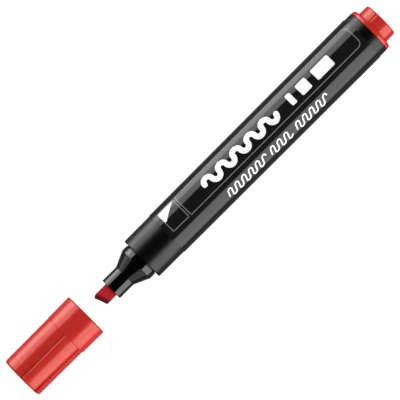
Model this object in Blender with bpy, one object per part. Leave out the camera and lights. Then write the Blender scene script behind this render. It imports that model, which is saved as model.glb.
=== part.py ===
"""Felt tip marker with a wide chisel nib, lying on its side along X, with its cap pulled off in line with it.

The nib end points towards -X and the end plug towards +X. Z is up, and the lowest facet of the label lies on
the plane Z = 0. Every piece is its own closed solid. Lengths are in millimetres and are scaled to metres when
a mesh is made.
"""

import math

import bmesh
import bpy

MM = 0.001

# Round pieces: an even facet count, with one facet facing straight down so that the marker lies still.
FACETS = 32
FACET_ANGLE = 2 * math.pi / FACETS
WELD = 1e-7

# Stations along the axis, from the cap's closed end to the stub's end.
HALF_LENGTH = 80.05
CAP_LENGTH = 28.55
CAP_COLLAR = 9.0
CAP_REST_GAP = 24.7
NIB_REACH = 6.0
NIB_SLANT = 1.83
NOZZLE_FRONT = 6.1
NOZZLE_CONE = 5.1
NOZZLE_SHOULDER = 2.4
GRIP_LENGTH = 11.2
LABEL_LENGTH = 87.1
REAR_BAND = 3.0
FLANGE_THICK = 1.6

CAP_END_X = -HALF_LENGTH
CAP_MOUTH_X = CAP_END_X + CAP_LENGTH
CAP_STEP_X = CAP_MOUTH_X - CAP_COLLAR
BARREL_FRONT_X = CAP_MOUTH_X + CAP_REST_GAP
LABEL_FRONT_X = BARREL_FRONT_X + GRIP_LENGTH
LABEL_REAR_X = LABEL_FRONT_X + LABEL_LENGTH
BARREL_REAR_X = LABEL_REAR_X + REAR_BAND
FLANGE_REAR_X = BARREL_REAR_X + FLANGE_THICK
STUB_END_X = HALF_LENGTH
CONE_REAR_X = BARREL_FRONT_X - NOZZLE_SHOULDER
CONE_FRONT_X = CONE_REAR_X - NOZZLE_CONE
NOZZLE_TIP_X = CONE_FRONT_X - NOZZLE_FRONT
NIB_TIP_X = NOZZLE_TIP_X - NIB_REACH

# Radii.
BARREL_FRONT_R = 7.80
BARREL_REAR_R = 8.04
LABEL_THICK = 0.14
FILM_GAP = 0.04
SEAT_GAP = 0.08
BORE_FRONT_R = 6.34
BORE_REAR_R = 6.54
NOZZLE_TIP_R = 3.92
SHOULDER_R = 6.25
SNAP_R = 6.49
SPIGOT_BORE_R = 5.0
FLANGE_R = 7.97
STUB_R = 6.19
PLUG_BORE_R = 4.9
CAP_MOUTH_R = 7.81
CAP_STEP_R = 7.73
CAP_END_R = 7.68
CAP_BORE_R = 6.46
LINER_R = 5.02
LINER_BORE_R = 4.22

# Inner pieces along the axis.
SPIGOT_LENGTH = 8.7
SNAP_FROM_FACE = 4.0
SNAP_HALF_WIDTH = 0.7
GROOVE_GAP = 0.12
RESERVOIR_FRONT_X = BARREL_FRONT_X + SPIGOT_LENGTH + 0.3
RESERVOIR_REAR_X = 62.0
RESERVOIR_R = 5.66
FILM_THICK = 0.12
FILM_SHORT = 0.3
RIB_EVERY = 4
RIB_R = 5.92
RIB_FRONT_X = RESERVOIR_FRONT_X + 1.0
RIB_REAR_X = 64.0
PLUG_SPIGOT_LENGTH = 7.4
PLUG_END_WALL = 1.5

# Nib and the slot it sits in.
NIB_WIDTH = 4.9
NIB_THICK = 3.2
NIB_EDGE_THICK = 1.1
NIB_BEVEL_LENGTH = 1.5
NIB_ROUND = 0.25
NIB_LENGTH = 36.5
SLOT_GAP = 0.15
POCKET_DEPTH = 8.6

# Cap: stepped panels on its body, each one sinking ever faster below the body's own radius, then stepping
# back. They are deepest at the closed end.
PANELS = 7
PANEL_COLUMNS = 6
PANEL_START_DEG = 92.1
PANEL_RECESS_STEP = 0.28
PANEL_RECESS_END = 0.58
PANEL_BASE_RECESS = 0.06
PANEL_CURVE = 2.0
PANEL_DEEP_AT = 0.95
CAP_END_WALL = 1.4
LINER_FLANGE_R = 6.32
LINER_FLANGE_THICK = 1.0
LINER_LENGTH = 17.4
LINER_END_WALL = 0.8

# Small edges: rounded ones, the chamfers that lead one piece into another, and how far cutters reach past.
EDGE_ROUND = 0.45
NOZZLE_TIP_ROUND = 0.2
RIM_ROUND = 1.0
STUB_ROUND = 0.6
STUB_DRAFT = 0.1
CAP_END_ROUND = 0.7
CAP_MOUTH_ROUND = 0.3
CAP_STEP_LENGTH = 0.15
ROUND_STEPS = 3
RIB_RAMP = 0.5
PLUG_LEAD_LENGTH = 0.6
PLUG_LEAD_DEPTH = 0.3
CAP_LEAD_LENGTH = 0.5
CAP_LEAD_DEPTH = 0.25
LINER_LEAD_LENGTH = 0.6
LINER_LEAD_DEPTH = 0.3
NOZZLE_BORE_TAPER = 0.8
CUTTER_OVERSHOOT = 1.0

# Height of the axis: the label's lowest facet touches the ground at its rear end.
LABEL_REAR_R = BARREL_REAR_R + FILM_GAP + LABEL_THICK
AXIS_Z = LABEL_REAR_R * math.cos(FACET_ANGLE / 2)


# ---------------------------------------------------------------- outlines


def barrel_radius(x):
    """Outer radius of the barrel, which widens steadily as far as the label's rear end."""
    share = (x - BARREL_FRONT_X) / (LABEL_REAR_X - BARREL_FRONT_X)
    return BARREL_FRONT_R + min(share, 1.0) * (BARREL_REAR_R - BARREL_FRONT_R)


def bore_radius(x):
    """Radius of the barrel's bore, which widens towards the rear so that its core can be drawn out."""
    share = (x - BARREL_FRONT_X) / (BARREL_REAR_X - BARREL_FRONT_X)
    return BORE_FRONT_R + share * (BORE_REAR_R - BORE_FRONT_R)


def rounded(x, r, radius, start_deg, end_deg):
    """Points of a rounded edge about the centre (x, r), angles measured from +X towards the outside."""
    points = []
    for step in range(ROUND_STEPS + 1):
        angle = math.radians(start_deg + (end_deg - start_deg) * step / ROUND_STEPS)
        points.append((x + radius * math.cos(angle), r + radius * math.sin(angle)))
    return points


# ---------------------------------------------------------------- meshes


def finished(name, bm, material):
    """Turns a bmesh into an object with smooth round faces and its material."""
    bmesh.ops.remove_doubles(bm, verts=bm.verts, dist=WELD)
    bmesh.ops.recalc_face_normals(bm, faces=bm.faces)
    mesh = bpy.data.meshes.new(name)
    bm.to_mesh(mesh)
    bm.free()
    mesh.shade_smooth()
    mesh.set_sharp_from_angle(angle=math.radians(30))
    mesh.materials.append(material)
    piece = bpy.data.objects.new(name, mesh)
    bpy.context.collection.objects.link(piece)
    return piece


def turned_bmesh(outline, closed, facets=FACETS, first_deg=None):
    """Spins an outline of (x, radius) points about the marker's axis.

    A closed outline makes a ring. An open one starts and ends on the axis.
    """
    if first_deg is None:
        first_deg = -90.0 + 180.0 / facets
    first = math.radians(first_deg)
    bm = bmesh.new()
    verts = []
    for x, r in outline:
        place = (x * MM, r * MM * math.cos(first), (AXIS_Z + r * math.sin(first)) * MM)
        verts.append(bm.verts.new(place))
    pairs = list(zip(verts, verts[1:]))
    if closed:
        pairs.append((verts[-1], verts[0]))
    edges = [bm.edges.new(pair) for pair in pairs]
    bmesh.ops.spin(
        bm,
        geom=verts + edges,
        cent=(0, 0, AXIS_Z * MM),
        axis=(1, 0, 0),
        angle=2 * math.pi,
        steps=facets,
        use_merge=True,
    )
    bmesh.ops.remove_doubles(bm, verts=bm.verts, dist=WELD)
    return bm


def polar(vert):
    """Radius in millimetres and angle in radians of a vertex about the marker's axis."""
    y = vert.co.y / MM
    z = vert.co.z / MM - AXIS_Z
    return math.hypot(y, z), math.atan2(z, y)


def place_polar(vert, r, angle):
    """Moves a vertex to a radius and an angle about the marker's axis, at its own station."""
    vert.co.y = r * math.cos(angle) * MM
    vert.co.z = (AXIS_Z + r * math.sin(angle)) * MM


def slot_cutter(name, front_x, rear_x):
    """A hidden box, a little larger than the nib's section, that cuts its slot or pocket."""
    width = (NIB_WIDTH + 2 * SLOT_GAP) * MM
    height = (NIB_THICK + 2 * SLOT_GAP) * MM
    bm = bmesh.new()
    bmesh.ops.create_cube(bm, size=1.0)
    for vert in bm.verts:
        vert.co.x *= (rear_x - front_x) * MM
        vert.co.y *= width
        vert.co.z *= height
    mesh = bpy.data.meshes.new(name)
    bm.to_mesh(mesh)
    bm.free()
    cutter = bpy.data.objects.new(name, mesh)
    cutter.location = ((front_x + rear_x) / 2 * MM, 0, AXIS_Z * MM)
    cutter.hide_render = True
    cutter.display_type = "WIRE"
    bpy.context.collection.objects.link(cutter)
    return cutter


def cut(piece, cutter):
    """Cuts a piece with a cutter."""
    boolean = piece.modifiers.new("nib slot", "BOOLEAN")
    boolean.operation = "DIFFERENCE"
    boolean.solver = "EXACT"
    boolean.object = cutter


# ---------------------------------------------------------------- materials


def plastic(name, color, roughness):
    """A plain dielectric material."""
    material = bpy.data.materials.new(name)
    material.use_nodes = True
    shader = material.node_tree.nodes["Principled BSDF"]
    shader.inputs["Base Color"].default_value = (*color, 1.0)
    shader.inputs["Roughness"].default_value = roughness
    shader.inputs["Metallic"].default_value = 0.0
    return material


# ---------------------------------------------------------------- pen


def make_barrel(material):
    """Black tube, open at both ends, with a snap groove for the nozzle and ribs that hold the reservoir."""
    snap_x = BARREL_FRONT_X + SNAP_FROM_FACE
    groove_r = SNAP_R + GROOVE_GAP
    groove_half = SNAP_HALF_WIDTH + GROOVE_GAP
    outer_front_r = barrel_radius(BARREL_FRONT_X)
    outline = rounded(BARREL_FRONT_X + EDGE_ROUND, outer_front_r - EDGE_ROUND, EDGE_ROUND, 180, 90)
    outline += [
        (LABEL_FRONT_X, barrel_radius(LABEL_FRONT_X)),
        (LABEL_REAR_X, barrel_radius(LABEL_REAR_X)),
        (BARREL_REAR_X, BARREL_REAR_R),
        (BARREL_REAR_X, bore_radius(BARREL_REAR_X)),
        (RIB_REAR_X + RIB_RAMP, bore_radius(RIB_REAR_X)),
        (RIB_REAR_X, bore_radius(RIB_REAR_X)),
        (RIB_FRONT_X, bore_radius(RIB_FRONT_X)),
        (RIB_FRONT_X - RIB_RAMP, bore_radius(RIB_FRONT_X)),
        (snap_x + groove_half, bore_radius(snap_x)),
        (snap_x + groove_half / 2, groove_r),
        (snap_x - groove_half / 2, groove_r),
        (snap_x - groove_half, bore_radius(snap_x)),
        (BARREL_FRONT_X, BORE_FRONT_R),
    ]
    bm = turned_bmesh(outline, closed=True)
    for vert in bm.verts:
        r, angle = polar(vert)
        station = vert.co.x / MM
        on_rib_span = RIB_FRONT_X - 0.1 < station < RIB_REAR_X + 0.1
        column = round((angle - math.radians(-90.0) - FACET_ANGLE / 2) / FACET_ANGLE) % FACETS
        if on_rib_span and r < barrel_radius(station) - 1.0 and column % RIB_EVERY == 0:
            place_polar(vert, RIB_R, angle)
    return finished("barrel", bm, material)


def make_label_sleeve(material):
    """Printed film round the barrel."""
    outline = []
    for x in (LABEL_FRONT_X, LABEL_REAR_X):
        outline.append((x, barrel_radius(x) + FILM_GAP))
    for x in (LABEL_REAR_X, LABEL_FRONT_X):
        outline.append((x, barrel_radius(x) + FILM_GAP + LABEL_THICK))
    return finished("label_sleeve", turned_bmesh(outline, closed=True), material)


def make_front_nozzle(material):
    """Nib holder: front cylinder, cone and shoulder, with a hollow spigot that snaps into the barrel."""
    snap_x = BARREL_FRONT_X + SNAP_FROM_FACE
    spigot_rear_x = BARREL_FRONT_X + SPIGOT_LENGTH
    tip_r = NOZZLE_TIP_R - NOZZLE_TIP_ROUND
    outline = [(NOZZLE_TIP_X, 0)]
    outline += rounded(NOZZLE_TIP_X + NOZZLE_TIP_ROUND, tip_r, NOZZLE_TIP_ROUND, 180, 90)
    outline += [
        (CONE_FRONT_X, NOZZLE_TIP_R),
        (CONE_REAR_X, SHOULDER_R),
        (snap_x - SNAP_HALF_WIDTH, SHOULDER_R),
        (snap_x - SNAP_HALF_WIDTH / 2, SNAP_R),
        (snap_x + SNAP_HALF_WIDTH / 2, SNAP_R),
        (snap_x + SNAP_HALF_WIDTH, SHOULDER_R),
        (spigot_rear_x, SHOULDER_R),
        (spigot_rear_x, SPIGOT_BORE_R),
        (BARREL_FRONT_X, SPIGOT_BORE_R),
        (CONE_REAR_X, SPIGOT_BORE_R - NOZZLE_BORE_TAPER),
        (CONE_REAR_X, 0),
    ]
    nozzle = finished("front_nozzle", turned_bmesh(outline, closed=False), material)
    slot_front_x = NOZZLE_TIP_X - CUTTER_OVERSHOOT
    cut(nozzle, slot_cutter("nozzle_slot_cutter", slot_front_x, CONE_REAR_X + CUTTER_OVERSHOOT))
    return nozzle


def make_nib(material):
    """Felt nib: a flat bar whose front end is cut slantwise and bevelled to a wide edge."""
    half_width = NIB_WIDTH / 2
    rear_x = NIB_TIP_X + NIB_LENGTH
    stations = [
        (NIB_TIP_X, NIB_TIP_X + NIB_SLANT, NIB_EDGE_THICK / 2),
        (NIB_TIP_X + NIB_BEVEL_LENGTH, NIB_TIP_X + NIB_SLANT + NIB_BEVEL_LENGTH, NIB_THICK / 2),
        (rear_x, rear_x, NIB_THICK / 2),
    ]
    bm = bmesh.new()
    rings = []
    for long_x, short_x, half_thick in stations:
        corners = [
            (long_x, half_width, half_thick),
            (short_x, -half_width, half_thick),
            (short_x, -half_width, -half_thick),
            (long_x, half_width, -half_thick),
        ]
        rings.append([bm.verts.new((x * MM, y * MM, (AXIS_Z + z) * MM)) for x, y, z in corners])
    bm.faces.new(rings[0])
    bm.faces.new(rings[-1])
    for front, back in zip(rings, rings[1:]):
        for k in range(4):
            following = (k + 1) % 4
            bm.faces.new((front[k], front[following], back[following], back[k]))
    nib = finished("nib", bm, material)
    bevel = nib.modifiers.new("worn edges", "BEVEL")
    bevel.width = NIB_ROUND * MM
    bevel.segments = 2
    bevel.limit_method = "ANGLE"
    bevel.angle_limit = math.radians(50)
    return nib


def make_ink_reservoir(material):
    """Bonded fibre rod with a pocket for the rear end of the nib."""
    outline = [
        (RESERVOIR_FRONT_X, 0),
        (RESERVOIR_FRONT_X, RESERVOIR_R),
        (RESERVOIR_REAR_X, RESERVOIR_R),
        (RESERVOIR_REAR_X, 0),
    ]
    reservoir = finished("ink_reservoir", turned_bmesh(outline, closed=False), material)
    pocket_front_x = RESERVOIR_FRONT_X - CUTTER_OVERSHOOT
    cut(reservoir, slot_cutter("pocket_cutter", pocket_front_x, RESERVOIR_FRONT_X + POCKET_DEPTH))
    return reservoir


def make_reservoir_film(material):
    """Thin film wrapped round the fibre rod, a little short of its ends."""
    front_x = RESERVOIR_FRONT_X + FILM_SHORT
    rear_x = RESERVOIR_REAR_X - FILM_SHORT
    inner_r = RESERVOIR_R + FILM_GAP
    outer_r = inner_r + FILM_THICK
    outline = [(front_x, inner_r), (rear_x, inner_r), (rear_x, outer_r), (front_x, outer_r)]
    return finished("reservoir_film", turned_bmesh(outline, closed=True), material)


def make_end_plug(material):
    """Hollow red plug: a spigot in the barrel's bore, a rim against its end, and a stub behind the rim."""
    spigot_r = bore_radius(BARREL_REAR_X - PLUG_SPIGOT_LENGTH) - SEAT_GAP
    rim_face_x = BARREL_REAR_X + SEAT_GAP
    spigot_front_x = BARREL_REAR_X - PLUG_SPIGOT_LENGTH
    stub_end_r = STUB_R - STUB_DRAFT
    outline = [
        (STUB_END_X - PLUG_END_WALL, 0),
        (STUB_END_X - PLUG_END_WALL, PLUG_BORE_R),
        (spigot_front_x, PLUG_BORE_R),
        (spigot_front_x, spigot_r - PLUG_LEAD_DEPTH),
        (spigot_front_x + PLUG_LEAD_LENGTH, spigot_r),
        (rim_face_x, spigot_r),
        (rim_face_x, FLANGE_R),
    ]
    outline += rounded(FLANGE_REAR_X - RIM_ROUND, FLANGE_R - RIM_ROUND, RIM_ROUND, 90, 0)
    outline += [(FLANGE_REAR_X, STUB_R)]
    outline += rounded(STUB_END_X - STUB_ROUND, stub_end_r - STUB_ROUND, STUB_ROUND, 90, 0)
    outline += [(STUB_END_X, 0)]
    return finished("end_plug", turned_bmesh(outline, closed=False), material)


# ---------------------------------------------------------------- cap


def panel_recess(share, x):
    """How far a panel lies below the cap's body, at a share of its width from 0, highest, to 1, deepest."""
    along = (CAP_STEP_X - x) / (CAP_STEP_X - CAP_END_X)
    deepest = PANEL_RECESS_STEP + along * (PANEL_RECESS_END - PANEL_RECESS_STEP)
    return PANEL_BASE_RECESS + deepest * share**PANEL_CURVE


def make_cap_shell(material):
    """Red cap, open towards the nib, with a smooth collar and stepped panels on the rest of its outside."""
    body_start_x = CAP_STEP_X - CAP_STEP_LENGTH
    mouth_r = CAP_MOUTH_R - CAP_MOUTH_ROUND
    outline = [(CAP_END_X, 0)]
    outline += rounded(CAP_END_X + CAP_END_ROUND, CAP_END_R - CAP_END_ROUND, CAP_END_ROUND, 180, 90)
    outline += [(body_start_x, CAP_STEP_R), (CAP_STEP_X, CAP_STEP_R)]
    outline += rounded(CAP_MOUTH_X - CAP_MOUTH_ROUND, mouth_r, CAP_MOUTH_ROUND, 90, 0)
    outline += [
        (CAP_MOUTH_X, CAP_BORE_R + CAP_LEAD_DEPTH),
        (CAP_MOUTH_X - CAP_LEAD_LENGTH, CAP_BORE_R),
        (CAP_END_X + CAP_END_WALL, CAP_BORE_R),
        (CAP_END_X + CAP_END_WALL, 0),
    ]
    columns = PANELS * PANEL_COLUMNS
    column_angle = 2 * math.pi / columns
    start = math.radians(PANEL_START_DEG)
    bm = turned_bmesh(outline, closed=False, facets=columns, first_deg=PANEL_START_DEG)
    for vert in bm.verts:
        r, angle = polar(vert)
        if r < 1.0:
            continue
        column = round((angle - start) / column_angle) % columns
        panel, place = divmod(column, PANEL_COLUMNS)
        share = place / (PANEL_COLUMNS - 1) * PANEL_DEEP_AT
        station = vert.co.x / MM
        on_body = station < body_start_x + 0.01 and r > CAP_BORE_R + 0.3
        if on_body:
            r -= panel_recess(share, station)
        place_polar(vert, r, start + (panel + share) * 2 * math.pi / PANELS)
    return finished("cap_shell", bm, material)


def make_cap_inner_seal(material):
    """Soft cup inside the cap that closes round the nozzle's front cylinder."""
    base_x = CAP_END_X + CAP_END_WALL + SEAT_GAP
    mouth_x = base_x + LINER_LENGTH
    outline = [
        (base_x, 0),
        (base_x, LINER_FLANGE_R),
        (base_x + LINER_FLANGE_THICK, LINER_FLANGE_R),
        (base_x + LINER_FLANGE_THICK, LINER_R),
        (mouth_x, LINER_R),
        (mouth_x, LINER_BORE_R + LINER_LEAD_DEPTH),
        (mouth_x - LINER_LEAD_LENGTH, LINER_BORE_R),
        (base_x + LINER_END_WALL, LINER_BORE_R),
        (base_x + LINER_END_WALL, 0),
    ]
    return finished("cap_inner_seal", turned_bmesh(outline, closed=False), material)


# ---------------------------------------------------------------- build


def main():
    for old in list(bpy.data.objects):
        bpy.data.objects.remove(old, do_unlink=True)

    satin_black = plastic("satin black plastic", (0.012, 0.012, 0.013), 0.42)
    gloss_black = plastic("gloss black plastic", (0.008, 0.008, 0.009), 0.18)
    label_black = plastic("black printed film", (0.010, 0.010, 0.010), 0.22)
    red = plastic("red plastic", (0.60, 0.022, 0.020), 0.28)
    felt = plastic("red felt", (0.40, 0.012, 0.016), 0.85)
    fibre = plastic("inked fibre", (0.45, 0.015, 0.020), 0.95)
    clear_film = plastic("clear film", (0.80, 0.80, 0.78), 0.30)
    soft_white = plastic("natural soft plastic", (0.75, 0.74, 0.70), 0.45)

    make_barrel(satin_black)
    make_label_sleeve(label_black)
    make_front_nozzle(gloss_black)
    make_nib(felt)
    make_ink_reservoir(fibre)
    make_reservoir_film(clear_film)
    make_end_plug(red)
    make_cap_shell(red)
    make_cap_inner_seal(soft_white)


main()
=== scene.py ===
"""The looks of the felt tip marker: fine meshes, materials, floor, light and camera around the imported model.

Lengths are in millimetres and are scaled to metres when a mesh is made. The marker lies along X with its nib
towards -X. Angles around it are measured from straight up towards -Y, in degrees.
"""

import math

import bmesh
import bpy
from mathutils import Matrix, Vector, noise


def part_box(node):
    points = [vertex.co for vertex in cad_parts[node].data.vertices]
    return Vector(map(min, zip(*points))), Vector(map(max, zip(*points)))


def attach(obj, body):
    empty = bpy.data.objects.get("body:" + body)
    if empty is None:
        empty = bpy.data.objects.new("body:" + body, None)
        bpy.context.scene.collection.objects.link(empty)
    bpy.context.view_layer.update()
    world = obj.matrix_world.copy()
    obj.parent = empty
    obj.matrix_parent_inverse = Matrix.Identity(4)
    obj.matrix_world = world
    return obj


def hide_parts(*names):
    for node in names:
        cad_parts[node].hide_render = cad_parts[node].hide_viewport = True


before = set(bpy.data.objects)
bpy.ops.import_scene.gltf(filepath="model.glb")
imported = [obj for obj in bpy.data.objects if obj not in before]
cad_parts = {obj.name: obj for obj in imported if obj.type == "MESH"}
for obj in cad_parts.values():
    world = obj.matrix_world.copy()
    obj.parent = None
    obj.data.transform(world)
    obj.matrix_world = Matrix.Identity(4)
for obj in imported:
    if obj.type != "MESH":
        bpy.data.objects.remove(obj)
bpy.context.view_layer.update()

MM = 0.001
COLUMNS = 160
SHARP_DEG = 35


def node_box(node):
    """A CAD node's lowest and highest corners in millimetres."""
    low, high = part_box(node)
    return [c / MM for c in low], [c / MM for c in high]


def half_height(node):
    """Half of a CAD node's height, which is the radius of a round one."""
    low, high = node_box(node)
    return (high[2] - low[2]) / 2


# ---------------------------------------------------------------- sizes from the frame

BARREL_FRONT_X = node_box("barrel")[0][0]
BARREL_REAR_X = node_box("barrel")[1][0]
BARREL_REAR_R = half_height("barrel")
LABEL_FRONT_X = node_box("label_sleeve")[0][0]
LABEL_REAR_X = node_box("label_sleeve")[1][0]
LABEL_REAR_R = half_height("label_sleeve")
NOZZLE_TIP_X = node_box("front_nozzle")[0][0]
SPIGOT_REAR_X = node_box("front_nozzle")[1][0]
NIB_TIP_X = node_box("nib")[0][0]
NIB_REAR_X = node_box("nib")[1][0]
NIB_HALF_WIDTH = (node_box("nib")[1][1] - node_box("nib")[0][1]) / 2
NIB_HALF_THICK = half_height("nib")
PLUG_FRONT_X = node_box("end_plug")[0][0]
STUB_END_X = node_box("end_plug")[1][0]
RIM_R = half_height("end_plug")
CAP_END_X = node_box("cap_shell")[0][0]
CAP_MOUTH_X = node_box("cap_shell")[1][0]
SEAL_BASE_X = node_box("cap_inner_seal")[0][0]
SEAL_MOUTH_X = node_box("cap_inner_seal")[1][0]
SEAL_BASE_R = half_height("cap_inner_seal")
AXIS_Z = node_box("label_sleeve")[0][2] + LABEL_REAR_R

# ---------------------------------------------------------------- sizes the frame doesn't give

# Barrel and label.
BARREL_FRONT_R = 7.76
BORE_R = 6.36
BORE_WIDENING = 0.17
LABEL_STEP = 0.19
LABEL_THICK = 0.14
LABEL_SEAM_DEG = 150.0
LABEL_SEAM_STEP = 0.05
LABEL_SEAM_WIDTH_DEG = 1.2
LABEL_SEAM_FADE_DEG = 24.0
LABEL_SEAM_STEPS = 4

# Nozzle.
SHOULDER_LENGTH = 2.4
CONE_LENGTH = 5.1
NOZZLE_TIP_R = 3.90
SHOULDER_R = 6.23
SPIGOT_BORE_R = 5.0
NECK_DEPTH = 0.22
NECK_LENGTH = 0.32
NOZZLE_FLOOR_NARROWING = 0.5
SLOT_GAP = 0.15
SLOT_EXTRA_LENGTH = 2.0

# Nib.
NIB_SLANT = 1.83
NIB_CORNER_INSET = 0.7
NIB_CORNER_LENGTH = 1.8
NIB_EDGE_HALF_THICK = 0.5
NIB_BEVEL_LENGTH = 1.35
NIB_CORNER = 0.45
NIB_TIP_ROUND = 0.22
NIB_TIP_THINNING = 0.35
NIB_SLANT_FADE_AT = 4.0
NIB_SLANT_FADE_LENGTH = 6.0
NIB_MESH_STEP = 0.3
NIB_FRONT_RINGS = (0.0, 0.04, 0.1, 0.18, 0.3, 0.5, 0.7, 0.9, 1.1, 1.25, 1.35, 1.45, 1.6, 1.9, 2.4, 3.0)
NIB_REAR_RINGS = (3.7, 4.5, 6.0, 8.0, 12.0, 20.0, 30.0)
# Unevenness of the felt: how many waves to a mm along and across it, and their height.
FELT_WAVES = ((0.9, 2.1, 0.035), (2.5, 9.0, 0.012))
FELT_CORE_R = 0.6
FELT_HIDDEN_AT = 7.0
FELT_HIDDEN_SHARE = 0.3
# Colours that the felt darkens to, and how far behind the writing edge each one starts and is complete.
EDGE_DARKENING = (((0.17, 0.005, 0.008), 2.1, 1.3), ((0.05, 0.002, 0.003), 1.2, -0.1))

# End plug.
RIM_THICK = 1.6
STUB_R = 6.16
STUB_DRAFT = 0.10
STUB_FOOT_ROUND = 0.12
STUB_SIDE_SHORT = 0.7
STUB_SIDE_RINGS = 8
STUB_EDGE_ROUND = 0.55
STUB_EDGE_STEPS = 6
DISH_R = 4.6
DISH_FLOOR_R = 4.4
DISH_DEPTH = 0.12
GATE_FOOT_R = 0.9
GATE_R = 0.7
GATE_DEPTH = 0.04
RIM_GAP = 0.06
PLUG_BORE_R = 4.9
PLUG_END_WALL = 1.5
STUB_GROOVES = 3
STUB_GROOVE_DEG = -19.5
STUB_GROOVE_HALF_DEG = 4.6
STUB_GROOVE_DEPTH = 0.12
STUB_GROOVE_FRONT_INSET = 0.25
STUB_GROOVE_REAR_INSET = 0.35
STUB_GROOVE_FADE = 0.3
STUB_SIDE_MARGIN = 0.05
STUB_GROOVE_COLUMNS = 6
PLUG_COLUMNS = 144

# Cap.
COLLAR_LENGTH = 9.0
CAP_MOUTH_R = 7.81
CAP_STEP_R = 7.73
CAP_END_R = 7.68
CAP_BORE_R = 6.46
CAP_END_WALL = 1.4
CAP_LEAD_IN = 0.2
CAP_LEAD_IN_LENGTH = 0.6
PANELS = 7
PANEL_START_DEG = 2.1
PANEL_RECESS_STEP = 0.28
PANEL_RECESS_END = 0.58
PANEL_CREST = 0.10
PANEL_CREST_SHARE = 0.10
PANEL_CURVE = 2.0
PANEL_DEEP_AT = 0.950
PANEL_CREST_COLUMNS = (0.0, 0.006, 0.015, 0.03, 0.06)
PANEL_MIDDLE_COLUMNS = tuple(0.1 + 0.06 * k for k in range(14))
PANEL_STEP_COLUMNS = (0.915, 0.935, PANEL_DEEP_AT, 0.958, 0.966, 0.974, 0.982, 0.990, 0.996)
CAP_STEP_SLOPE = 0.22
CAP_STEP_RINGS = 8
CAP_STEP_RINGS_FRONT = 0.24
CAP_STEP_RINGS_REACH = 0.26
CAP_BORE_MARGIN = 0.35
CAP_END_MARGIN = 0.3
SEAL_R = 5.02
SEAL_BORE_R = 4.22
SEAL_BASE_THICK = 1.0
SEAL_END_WALL = 0.8
SEAL_LEAD_IN = 0.35
SEAL_LEAD_IN_LENGTH = 0.8
SEAL_COLUMNS = 96

# Label print: frame, icon, wave, bars and squiggles.
INK_LIFT = 0.012
INK_DEPTH = 0.02
INK_ACROSS = 6
FACET_DEG = 2.0
END_STEPS = 6
ARCH_STEPS = 16
MM_PER_DEG = LABEL_REAR_R * math.pi / 180
PRINT_TOP_DEG = -51.5
PRINT_LOW_DEG = 8.5
FRAME_X0 = LABEL_FRONT_X + 9.6
FRAME_X1 = LABEL_REAR_X - 1.75
FRAME_LINE = 0.24
FRAME_ROUND = 1.8
FRAME_FRONT_STEPS = 30
FRAME_REAR_STEPS = 24
FRAME_ROUND_STEPS = 8
ICON_X0 = LABEL_FRONT_X + 2.0
ICON_X1 = LABEL_FRONT_X + 8.7
ICON_TOP_DEG = -51
ICON_LOW_DEG = 8
WEDGE_INSET = 0.1
WEDGE_TOP_DEG = PRINT_TOP_DEG + 1.0
WEDGE_SPAN_DEG = 30.0
WEDGE_TAPER = 5.9
WEDGE_STEPS = 14
WAVE_X = 3.6
WAVE_ARCHES = 10
WAVE_PITCH = 3.15
WAVE_STROKE = 1.85
WAVE_LOW_DEG = -6.5
WAVE_HIGH_DEG = -28.5
BARS = ((40.7, 2.0), (45.2, 4.2), (52.0, 7.4))
BAR_TOP_DEG = -32.5
BAR_LOW_DEG = -2.5
BAR_CORNER = 0.5
BAR_STEPS = 21
SQUIGGLE_X = 7.0
SQUIGGLE_ARCHES = (11, 6, 9)
SQUIGGLE_PITCH = 1.5
SQUIGGLE_LEAN = 0.28
SQUIGGLE_STROKE = 0.47
SQUIGGLE_GAP = 2.2
SQUIGGLE_LOW_DEG = 51.0
SQUIGGLE_HIGH_DEG = 28.5

# Camera: the width that it shows at the marker, and where it stands and looks.
PHOTO_WIDTH = 126.0
CAMERA_X = -26.9
CAMERA_HEIGHT = 1350.0
AIM_X = -0.67
AIM_Y = 0.14
SENSOR = 36.0
CLIP_END = 20000.0

# Lights. A softbox has rows between angles from straight up, each with its radiance.
FLOOR_HALF_SIZE = 3000.0
FLOOR_GLOW = 0.93
SOFTBOX_DISTANCE = 600.0
SOFTBOXES = (
    ("softbox_back", 1, (47.0, 76.0, 96.0, 104.0, 112.0), (3.6, 6.3, 4.3, 2.2)),
    ("softbox_front", -1, (44.0, 70.0, 95.0, 101.0, 107.0), (4.0, 3.6, 2.7, 1.5)),
)
SOFTBOX_PARTS = (
    ("nib_end", (-950.0, -220.0), 0.22),
    ("middle", (-220.0, 280.0), 1.0),
    ("plug_end", (280.0, 950.0), 0.36),
)
FILLS = (
    ("fill_top", (0, 0, 0), 0.7),
    ("fill_front", (65, 0, 0), 1.15),
    ("fill_nib_end", (0, -85, 0), 0.6),
    ("fill_plug_end", (0, 85, 0), 0.6),
)
FILL_WIDTH_DEG = 60
WORLD_OVERHEAD = 0.012
WORLD_BELOW = 0.16

CONE_REAR_X = BARREL_FRONT_X - SHOULDER_LENGTH
CONE_FRONT_X = CONE_REAR_X - CONE_LENGTH
CAP_STEP_X = CAP_MOUTH_X - COLLAR_LENGTH
RIM_REAR_X = BARREL_REAR_X + RIM_THICK


# ---------------------------------------------------------------- outlines and meshes


def around(x, r, degrees):
    """World place of a point at station x and radius r, at an angle from straight up towards -Y."""
    angle = math.radians(degrees)
    return Vector((x * MM, -r * math.sin(angle) * MM, (AXIS_Z + r * math.cos(angle)) * MM))


def smooth(share):
    """Smooth step from 0 to 1."""
    share = min(max(share, 0.0), 1.0)
    return share * share * (3 - 2 * share)


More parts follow.
